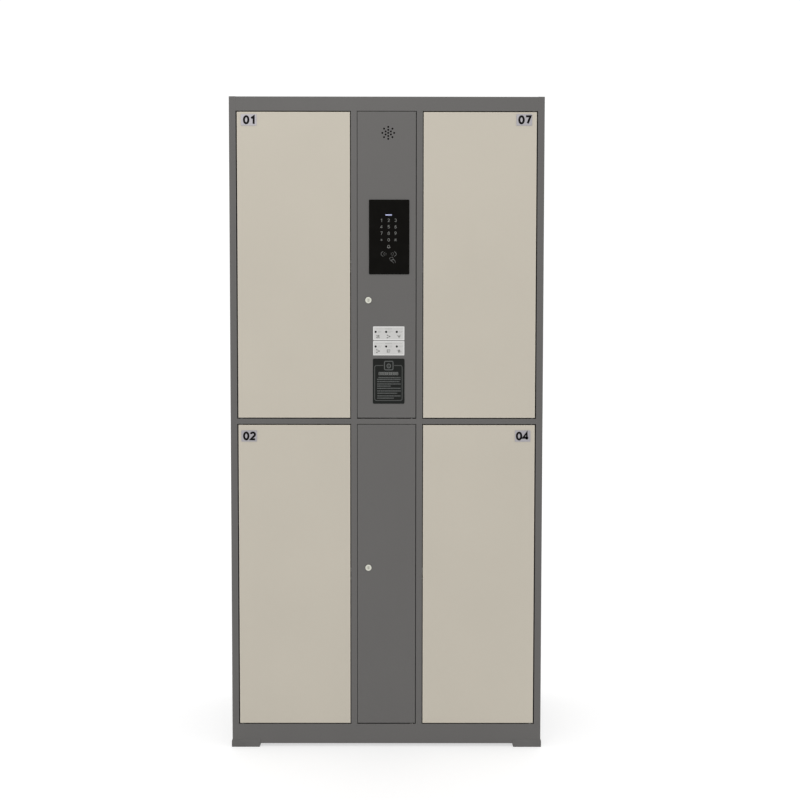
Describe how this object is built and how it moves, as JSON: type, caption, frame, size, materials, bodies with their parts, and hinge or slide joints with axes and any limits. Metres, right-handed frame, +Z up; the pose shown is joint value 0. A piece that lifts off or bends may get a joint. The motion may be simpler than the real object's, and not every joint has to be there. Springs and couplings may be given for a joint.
{
  "type": "parcel locker",
  "caption": "Floor-standing steel parcel locker with tall parcel compartments either side of a narrow control column with a keypad terminal.",
  "frame": {"origin": "centre of the footprint, on the floor", "axes": "+X to the user's right, +Y from the doors to the wall, +Z up"},
  "size_m": [0.89, 0.5045, 1.85],
  "materials": {
    "cabinet_paint": "satin",
    "door_paint": "satin",
    "zinc_steel": "satin",
    "pivot_steel": "satin",
    "tag_metal": "satin",
    "lock_metal": "satin",
    "keypad_glass": "gloss",
    "white_label": "satin",
    "black_acrylic": "satin",
    "black_plastic": "satin",
    "bush_plastic": "satin",
    "rubber": "matte",
    "foot_plastic": "matte",
    "supply_metal": "satin",
    "duct_plastic": "matte"
  },
  "bodies": {
    "cabinet": {"back_panel": "cabinet_paint", "back_panel_screws": "zinc_steel", "bottom_panel": "cabinet_paint", "cable_duct": "duct_plastic", "controller_unit": "supply_metal", "door_buffers": "rubber", "feet": "foot_plastic", "floor_panel": "cabinet_paint", "header_rail": "cabinet_paint", "hinge_bushes": "bush_plastic", "lock_cases": "zinc_steel", "mid_rails": "cabinet_paint", "mullion_left": "cabinet_paint", "mullion_right": "cabinet_paint", "partition_left": "cabinet_paint", "partition_right": "cabinet_paint", "plinth_rail": "cabinet_paint", "power_inlet": "black_plastic", "power_supply": "supply_metal", "shelves": "cabinet_paint", "side_panel_left": "cabinet_paint", "side_panel_right": "cabinet_paint", "top_panel": "cabinet_paint"},
    "door_01": {"door_01_panel": "door_paint", "door_01_stiffener": "door_paint", "door_01_hinge_pins": "pivot_steel", "door_01_number_tag": "tag_metal", "door_01_strike": "zinc_steel"},
    "bolt_01": {"lock_01_bolt": "zinc_steel"},
    "door_02": {"door_02_panel": "door_paint", "door_02_stiffener": "door_paint", "door_02_hinge_pins": "pivot_steel", "door_02_number_tag": "tag_metal", "door_02_strike": "zinc_steel"},
    "bolt_02": {"lock_02_bolt": "zinc_steel"},
    "door_07": {"door_07_panel": "door_paint", "door_07_stiffener": "door_paint", "door_07_hinge_pins": "pivot_steel", "door_07_number_tag": "tag_metal", "door_07_strike": "zinc_steel"},
    "bolt_07": {"lock_07_bolt": "zinc_steel"},
    "door_04": {"door_04_panel": "door_paint", "door_04_stiffener": "door_paint", "door_04_hinge_pins": "pivot_steel", "door_04_number_tag": "tag_metal", "door_04_strike": "zinc_steel"},
    "bolt_04": {"lock_04_bolt": "zinc_steel"},
    "control_door": {"control_door_panel": "cabinet_paint", "control_door_hinge_pins": "pivot_steel", "keypad_glass": "keypad_glass", "keypad_housing": "black_plastic", "speaker": "black_plastic", "instruction_labels": "white_label", "notice_plate": "black_acrylic", "control_door_lock_barrel": "lock_metal"},
    "service_door": {"service_door_panel": "cabinet_paint", "service_door_hinge_pins": "pivot_steel", "service_door_lock_barrel": "lock_metal"},
    "control_lock": {"control_door_lock_plug": "lock_metal"},
    "service_lock": {"service_door_lock_plug": "lock_metal"}
  },
  "joints": [
    {"name": "door_01_hinge", "type": "hinge", "parent": "cabinet", "child": "door_01", "pos_m": [-0.4118, -0.244, 1.37787], "axis": [0, 0, -1], "range_deg": [0, 115]},
    {"name": "door_02_hinge", "type": "hinge", "parent": "cabinet", "child": "door_02", "pos_m": [-0.4118, -0.244, 0.49862], "axis": [0, 0, -1], "range_deg": [0, 115]},
    {"name": "door_07_hinge", "type": "hinge", "parent": "cabinet", "child": "door_07", "pos_m": [0.4118, -0.244, 1.37787], "axis": [0, 0, 1], "range_deg": [0, 115]},
    {"name": "door_04_hinge", "type": "hinge", "parent": "cabinet", "child": "door_04", "pos_m": [0.4118, -0.244, 0.49862], "axis": [0, 0, 1], "range_deg": [0, 115]},
    {"name": "control_door_hinge", "type": "hinge", "parent": "cabinet", "child": "control_door", "pos_m": [0.0722, -0.244, 1.37787], "axis": [0, 0, 1], "range_deg": [0, 115]},
    {"name": "service_door_hinge", "type": "hinge", "parent": "cabinet", "child": "service_door", "pos_m": [0.0722, -0.244, 0.49862], "axis": [0, 0, 1], "range_deg": [0, 115]},
    {"name": "control_lock_turn", "type": "hinge", "parent": "control_door", "child": "control_lock", "pos_m": [-0.0517, -0.25, 1.2811], "axis": [0, 1, 0], "range_deg": [0, 90]},
    {"name": "service_lock_turn", "type": "hinge", "parent": "service_door", "child": "service_lock", "pos_m": [-0.0517, -0.25, 0.5197], "axis": [0, 1, 0], "range_deg": [0, 90]},
    {"name": "bolt_01_slide", "type": "slide", "parent": "cabinet", "child": "bolt_01", "axis": [0, 0, 1], "range_m": [0, 0.006]},
    {"name": "bolt_02_slide", "type": "slide", "parent": "cabinet", "child": "bolt_02", "axis": [0, 0, 1], "range_m": [0, 0.006]},
    {"name": "bolt_07_slide", "type": "slide", "parent": "cabinet", "child": "bolt_07", "axis": [0, 0, 1], "range_m": [0, 0.006]},
    {"name": "bolt_04_slide", "type": "slide", "parent": "cabinet", "child": "bolt_04", "axis": [0, 0, 1], "range_m": [0, 0.006]}
  ]
}
